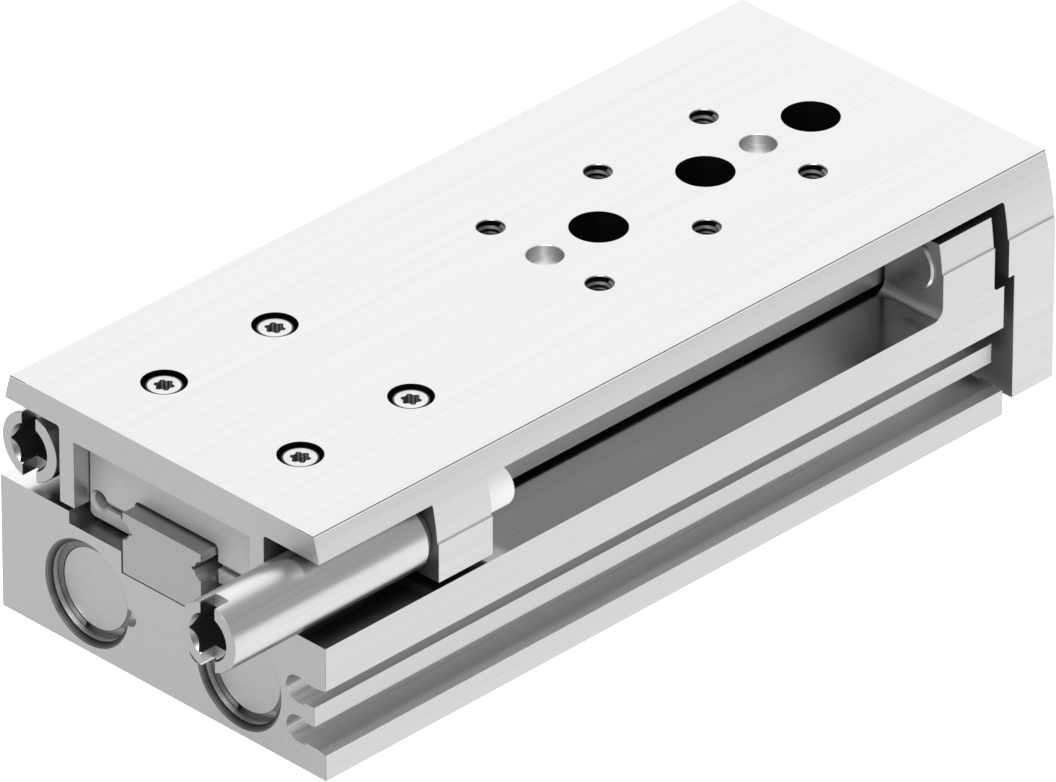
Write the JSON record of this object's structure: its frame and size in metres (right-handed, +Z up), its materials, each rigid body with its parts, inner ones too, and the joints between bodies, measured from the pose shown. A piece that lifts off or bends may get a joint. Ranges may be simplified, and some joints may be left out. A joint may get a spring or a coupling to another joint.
{
  "type": "pneumatic slide table",
  "caption": "Pneumatic slide table: a flat ball-guided table with an end yoke, driven by pistons in a slotted housing, with screw-in stop sleeves and buffers at its sides.",
  "frame": {"origin": "middle of the housing's flat underside", "axes": "+X along the stroke towards the yoke, +Z up towards the table's top, -Y towards the side with the sensor slots"},
  "size_m": [0.1513, 0.0598, 0.036],
  "materials": {
    "housing_aluminium": "clear anodised, sawn ends",
    "table_aluminium": "clear anodised, fine lengthwise grain",
    "rail_steel": "ground bearing steel",
    "carriage_steel": "ground bearing steel",
    "cap_plastic": "grey moulded plastic",
    "ball_steel": "polished bearing steel",
    "screw_bright": "bright zinc",
    "screw_steel": "zinc plated",
    "cover_aluminium": "clear anodised",
    "ring_steel": "phosphated spring steel",
    "seal_rubber": "nitrile rubber",
    "bushing_brass": "turned bronze",
    "rod_chrome": "ground and chromed",
    "magnet": "bonded magnet",
    "piston_aluminium": "turned",
    "pad_steel": "hardened steel",
    "sleeve_steel": "satin, corrosion resistant",
    "buffer_elastomer": "white polyurethane"
  },
  "bodies": {
    "housing_body": {"cover_seal_far": "seal_rubber", "cover_seal_near": "seal_rubber", "extend_stop_pad": "pad_steel", "front_ring_far": "ring_steel", "front_ring_near": "ring_steel", "guide_rail": "rail_steel", "housing": "housing_aluminium", "rail_screw_1": "screw_steel", "rail_screw_2": "screw_steel", "rail_screw_3": "screw_steel", "rail_screw_4": "screw_steel", "rail_screw_5": "screw_steel", "rail_screw_6": "screw_steel", "rear_cover_far": "cover_aluminium", "rear_cover_near": "cover_aluminium", "rear_ring_far": "ring_steel", "rear_ring_near": "ring_steel", "rod_bushing_far": "bushing_brass", "rod_bushing_near": "bushing_brass", "rod_seal_far": "seal_rubber", "rod_seal_near": "seal_rubber"},
    "table_body": {"bearing_balls_far": "ball_steel", "bearing_balls_near": "ball_steel", "carriage_block": "carriage_steel", "carriage_cap_front": "cap_plastic", "carriage_cap_rear": "cap_plastic", "carriage_screw_1": "screw_bright", "carriage_screw_2": "screw_bright", "carriage_screw_3": "screw_bright", "carriage_screw_4": "screw_bright", "piston_far": "piston_aluminium", "piston_magnet_far": "magnet", "piston_magnet_near": "magnet", "piston_near": "piston_aluminium", "piston_rod_far": "rod_chrome", "piston_rod_near": "rod_chrome", "piston_seal_front_far": "seal_rubber", "piston_seal_front_near": "seal_rubber", "piston_seal_rear_far": "seal_rubber", "piston_seal_rear_near": "seal_rubber", "retract_stop_pad": "pad_steel", "rod_screw_far": "screw_steel", "rod_screw_near": "screw_steel", "slide_table": "table_aluminium"},
    "extend_pin_body": {"extend_buffer": "buffer_elastomer"},
    "extend_sleeve_body": {"extend_sleeve": "sleeve_steel"},
    "retract_pin_body": {"retract_buffer": "buffer_elastomer"},
    "retract_sleeve_body": {"retract_sleeve": "sleeve_steel"}
  },
  "joints": [
    {"name": "table_stroke", "type": "slide", "parent": "housing_body", "child": "table_body", "axis": [1, 0, 0], "range_m": [0, 0.0763]},
    {"name": "extend_stop_advance", "type": "slide", "parent": "table_body", "child": "extend_pin_body", "axis": [1, 0, 0], "range_m": [-0.005, 0]},
    {"name": "extend_stop_turn", "type": "hinge", "parent": "extend_pin_body", "child": "extend_sleeve_body", "pos_m": [-0.06295, -0.0245, 0.02645], "axis": [1, 0, 0], "range_deg": [-1800, 0]},
    {"name": "retract_stop_advance", "type": "slide", "parent": "housing_body", "child": "retract_pin_body", "axis": [1, 0, 0], "range_m": [-0.005, 0]},
    {"name": "retract_stop_turn", "type": "hinge", "parent": "retract_pin_body", "child": "retract_sleeve_body", "pos_m": [-0.04295, 0.0245, 0.02645], "axis": [1, 0, 0], "range_deg": [-1800, 0]}
  ],
  "couplings": [
    {"joint": "extend_stop_turn", "follows": "extend_stop_advance", "rad_per_m": 6283.2},
    {"joint": "retract_stop_turn", "follows": "retract_stop_advance", "rad_per_m": 6283.2}
  ]
}
